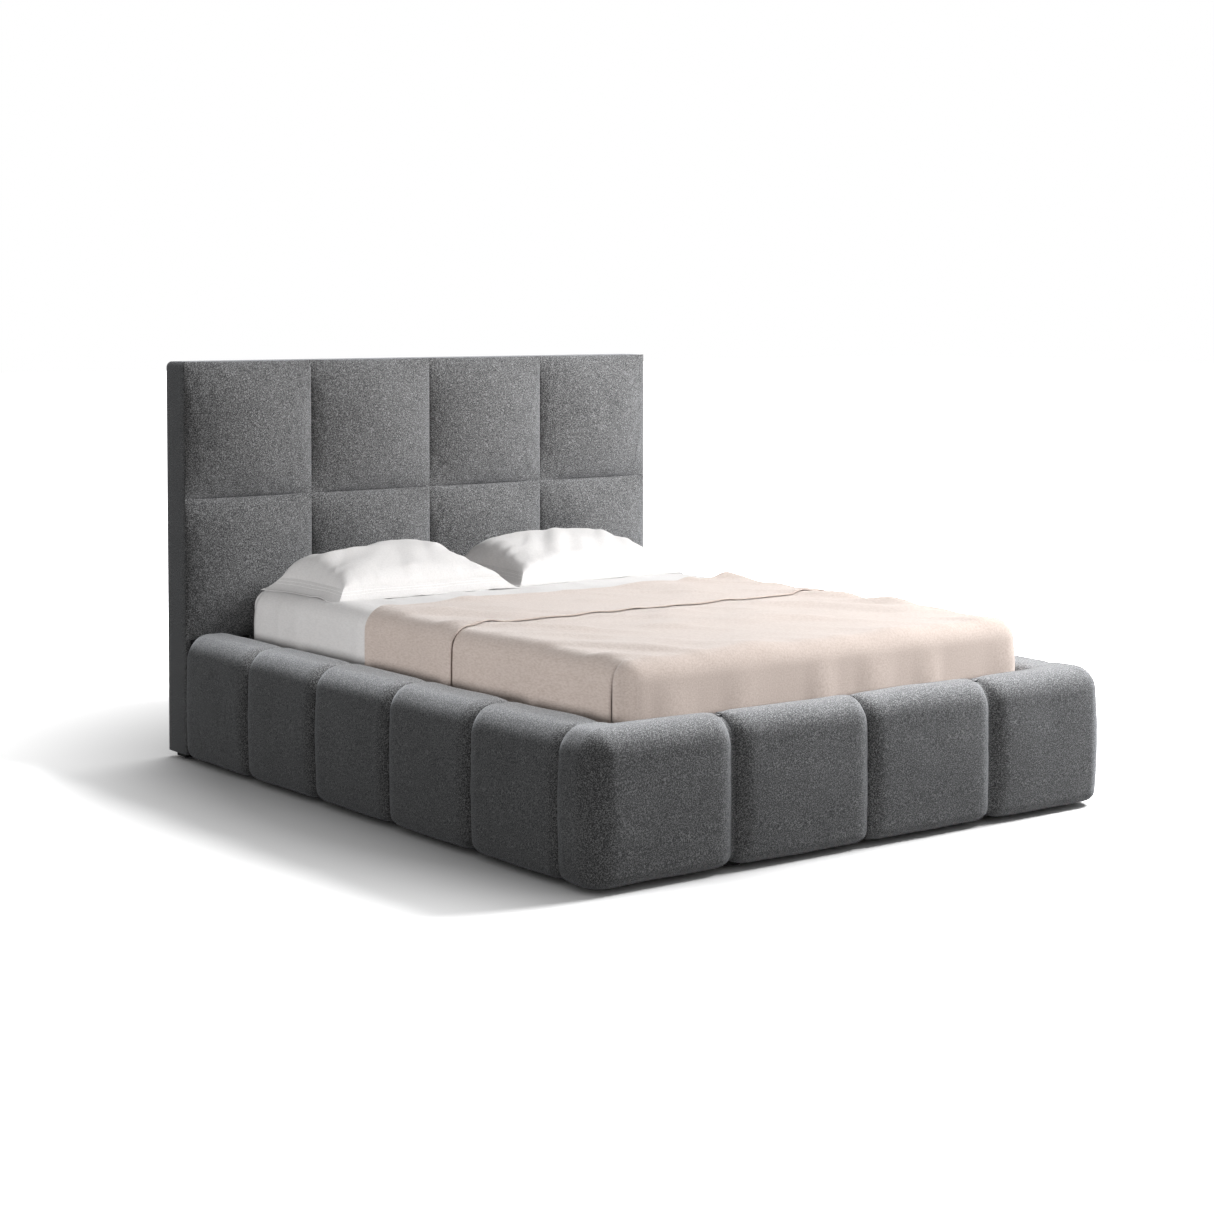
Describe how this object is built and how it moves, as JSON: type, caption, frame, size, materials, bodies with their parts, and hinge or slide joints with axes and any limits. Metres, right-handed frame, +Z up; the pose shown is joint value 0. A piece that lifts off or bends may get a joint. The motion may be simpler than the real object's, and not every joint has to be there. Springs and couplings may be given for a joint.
{
  "type": "upholstered headboard bed",
  "caption": "Upholstered bed with a channelled headboard, puffed rails, bedding and a gas-sprung base that lifts at the foot end over a storage box.",
  "frame": {"origin": "on the floor, under the middle of the bed's bounding box", "axes": "+X to the right seen from the foot, +Y from the foot towards the headboard, +Z up"},
  "size_m": [1.82, 2.276, 1.25],
  "materials": {
    "upholstery": "heathered salt-and-pepper upholstery weave",
    "lining": "dark dust cloth and back cover",
    "timber": "raw board",
    "panel": "faced board",
    "black_steel": "satin powder coat",
    "zinc": "zinc plated",
    "rod_chrome": "hard chrome",
    "black_plastic": "moulded",
    "buffer_rubber": "moulded",
    "slat_wood": "lacquered plywood",
    "webbing": "woven webbing",
    "mattress_ticking": "quilted ticking",
    "white_linen": "washed cotton",
    "blanket_weave": "fine woven throw"
  },
  "bodies": {
    "frame": {"headboard_front_panel": "timber", "headboard_posts": "timber", "headboard_cross_rails": "timber", "headboard_back_panel": "timber", "headboard_back_cover": "lining", "headboard_border": "upholstery", "headboard_lower_pad": "upholstery", "headboard_pad_upper_1": "upholstery", "headboard_pad_upper_2": "upholstery", "headboard_pad_upper_3": "upholstery", "headboard_pad_upper_4": "upholstery", "headboard_pad_lower_1": "upholstery", "headboard_pad_lower_2": "upholstery", "headboard_pad_lower_3": "upholstery", "headboard_pad_lower_4": "upholstery", "rail_box_left": "timber", "rail_box_right": "timber", "side_pad_left_1": "upholstery", "side_pad_left_2": "upholstery", "side_pad_left_3": "upholstery", "side_pad_left_4": "upholstery", "side_pad_left_5": "upholstery", "side_pad_right_1": "upholstery", "side_pad_right_2": "upholstery", "side_pad_right_3": "upholstery", "side_pad_right_4": "upholstery", "side_pad_right_5": "upholstery", "foot_box": "timber", "foot_pad_1": "upholstery", "foot_pad_2": "upholstery", "foot_pad_3": "upholstery", "foot_pad_4": "upholstery", "corner_brackets": "black_steel", "corner_bolts": "zinc", "feet": "black_plastic", "floor_bearers": "timber", "floor_panels": "panel", "lift_brackets": "black_steel", "bracket_pins": "zinc", "bracket_screws": "zinc", "rest_buffers": "buffer_rubber"},
    "long_lift_arms": {"long_arms": "black_steel"},
    "lift_base": {"base_side_tubes": "black_steel", "base_cross_tubes": "black_steel", "base_centre_rail": "black_steel", "base_plates": "black_steel", "base_pins": "zinc", "slats": "slat_wood", "slat_holders": "black_plastic", "mattress_stops": "black_steel", "lift_strap": "webbing", "mattress": "mattress_ticking", "fitted_sheet": "white_linen", "blanket": "blanket_weave", "pillow_left": "white_linen", "pillow_right": "white_linen"},
    "short_lift_arms": {"short_arms": "black_steel"},
    "strut_cylinders": {"gas_cylinders": "black_steel"},
    "strut_rods": {"gas_rods": "rod_chrome"}
  },
  "joints": [
    {"name": "base_lift", "type": "hinge", "parent": "frame", "child": "long_lift_arms", "pos_m": [0, 0.444, 0.227], "axis": [1, 0, 0], "range_deg": [0, 72]},
    {"name": "base_tilt", "type": "hinge", "parent": "long_lift_arms", "child": "lift_base", "pos_m": [0, 0.6, 0.305], "axis": [-1, 0, 0], "range_deg": [0, 98.12]},
    {"name": "short_arm_swing", "type": "hinge", "parent": "frame", "child": "short_lift_arms", "pos_m": [0, 0.31, 0.121], "axis": [1, 0, 0], "range_deg": [0, 56.5]},
    {"name": "strut_cylinder_swing", "type": "hinge", "parent": "frame", "child": "strut_cylinders", "pos_m": [0, 0.5, 0.117], "axis": [1, 0, 0], "range_deg": [0, 49.88]},
    {"name": "strut_rod_swing", "type": "hinge", "parent": "long_lift_arms", "child": "strut_rods", "pos_m": [0, 0.648, 0.323], "axis": [-1, 0, 0], "range_deg": [0, 22.52]}
  ],
  "couplings": [
    {"joint": "base_tilt", "follows": "base_lift", "ratio": 1.36},
    {"joint": "short_arm_swing", "follows": "base_lift", "ratio": 0.782},
    {"joint": "strut_cylinder_swing", "follows": "base_lift", "ratio": 0.69},
    {"joint": "strut_rod_swing", "follows": "base_lift", "ratio": 0.31}
  ]
}
